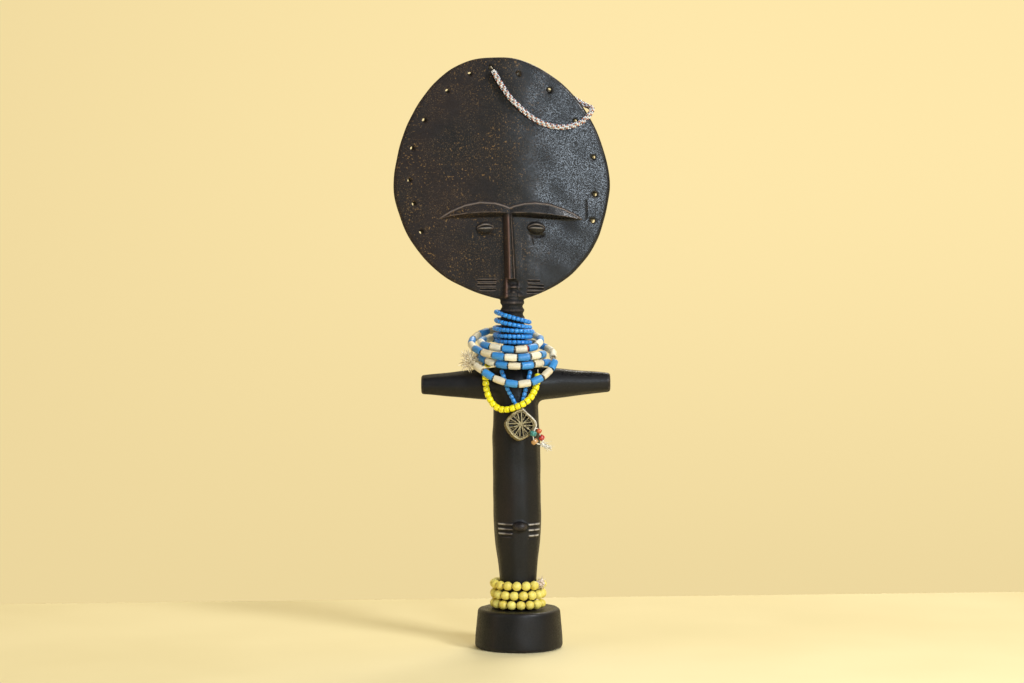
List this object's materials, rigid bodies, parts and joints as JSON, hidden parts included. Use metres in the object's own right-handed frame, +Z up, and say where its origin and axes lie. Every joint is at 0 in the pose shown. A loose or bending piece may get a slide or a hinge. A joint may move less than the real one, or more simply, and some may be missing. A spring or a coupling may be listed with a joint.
{
  "type": "akua'ba fertility doll",
  "caption": "Carved wooden doll with a flat round head, ringed neck, cone arms and round base, dressed with glass bead strands and a brass openwork pendant.",
  "frame": {"origin": "centre of the underside of the round base, where the doll stands", "axes": "+Z up along the column, the face looks along -Y, +X is to the viewer's right along the right arm"},
  "size_m": [0.1402, 0.0572, 0.38],
  "materials": {
    "dark_wood": "dark oiled carved wood with a worn patina",
    "cotton_thread": "twisted undyed cotton",
    "blue_glass": "opaque sky blue glass, glossy with a worn skin",
    "white_glass": "opaque cream glass, drawn, faint ribs",
    "red_glass": "opaque brick red glass",
    "yellow_glass": "opaque bright yellow glass",
    "raffia": "frayed raffia and cotton ends",
    "brass": "aged cast brass with a dark olive patina",
    "cotton_cord": "white cotton cord with frayed ends",
    "teal_glass": "opaque teal glass",
    "orange_glass": "opaque orange glass",
    "amber_glass": "pale amber glass, cloudy",
    "rope_beads": "crocheted seed beads, white with rust and navy",
    "ankle_glass": "matt pale yellow powder glass"
  },
  "bodies": {
    "root": {"carved_figure": "dark_wood", "tube_strand_thread": "cotton_thread", "tube_strand_blue_beads": "blue_glass", "tube_strand_white_beads": "white_glass", "tube_strand_red_spacer": "red_glass", "tube_strand_knot": "raffia", "yellow_strand_thread": "cotton_thread", "yellow_strand_beads": "yellow_glass", "yellow_strand_knot": "cotton_thread", "pendant_strand_thread": "cotton_thread", "pendant_strand_beads": "blue_glass", "pendant_strand_knot": "cotton_thread", "head_rope_back": "rope_beads", "head_rope_thread": "cotton_thread", "head_rope_knot": "cotton_cord"},
    "neck_coil": {"neck_coil_thread": "cotton_thread", "neck_coil_beads": "blue_glass", "neck_coil_knots": "cotton_thread"},
    "pendant_loop": {"pendant_drop_thread": "cotton_thread", "pendant_drop_beads": "blue_glass", "pendant_ring": "brass"},
    "yellow_loop": {"yellow_drop_thread": "cotton_thread", "yellow_drop_beads": "yellow_glass"},
    "tube_loop": {"tube_drop_thread": "cotton_thread", "tube_drop_blue_beads": "blue_glass", "tube_drop_white_beads": "white_glass"},
    "pendant": {"brass_pendant": "brass"},
    "tassel": {"tassel_cord": "cotton_cord", "tassel_teal_bead": "teal_glass", "tassel_orange_bead": "orange_glass", "tassel_red_bead": "red_glass", "tassel_amber_bead": "amber_glass", "tassel_knot": "cotton_cord"},
    "head_rope": {"head_rope_front": "rope_beads"},
    "ankle_strand": {"ankle_thread": "cotton_thread", "ankle_beads": "ankle_glass", "ankle_knot": "cotton_cord"}
  },
  "joints": [
    {"name": "neck_coil_spin", "type": "hinge", "parent": "root", "child": "neck_coil", "pos_m": [-0.003, 0, 0.18], "axis": [-0.0304, 0, 0.9995], "continuous": true},
    {"name": "pendant_loop_lift", "type": "hinge", "parent": "root", "child": "pendant_loop", "pos_m": [0, -0.0134, 0.1822], "axis": [-1, 0, 0], "range_deg": [0, 20]},
    {"name": "yellow_loop_lift", "type": "hinge", "parent": "pendant_loop", "child": "yellow_loop", "pos_m": [0, -0.0134, 0.1822], "axis": [-1, 0, 0], "range_deg": [0, 20]},
    {"name": "tube_loop_lift", "type": "hinge", "parent": "yellow_loop", "child": "tube_loop", "pos_m": [0, -0.0134, 0.1822], "axis": [-1, 0, 0], "range_deg": [0, 20]},
    {"name": "pendant_sway", "type": "hinge", "parent": "pendant_loop", "child": "pendant", "pos_m": [0.0002, -0.0172, 0.1549], "axis": [0, -1, 0], "range_deg": [-12, 12]},
    {"name": "tassel_sway", "type": "hinge", "parent": "pendant", "child": "tassel", "pos_m": [0.0012, -0.0188, 0.1559], "axis": [0, -1, 0], "range_deg": [0, 16]},
    {"name": "head_rope_swing", "type": "hinge", "parent": "root", "child": "head_rope", "pos_m": [-0.01667, -0.00793, 0.3712], "axis": [-0.8974, -0.0717, 0.4353], "range_deg": [0, 60]},
    {"name": "ankle_strand_spin", "type": "hinge", "parent": "root", "child": "ankle_strand", "pos_m": [-0.0004, 0, 0], "axis": [0, 0, 1], "continuous": true}
  ]
}
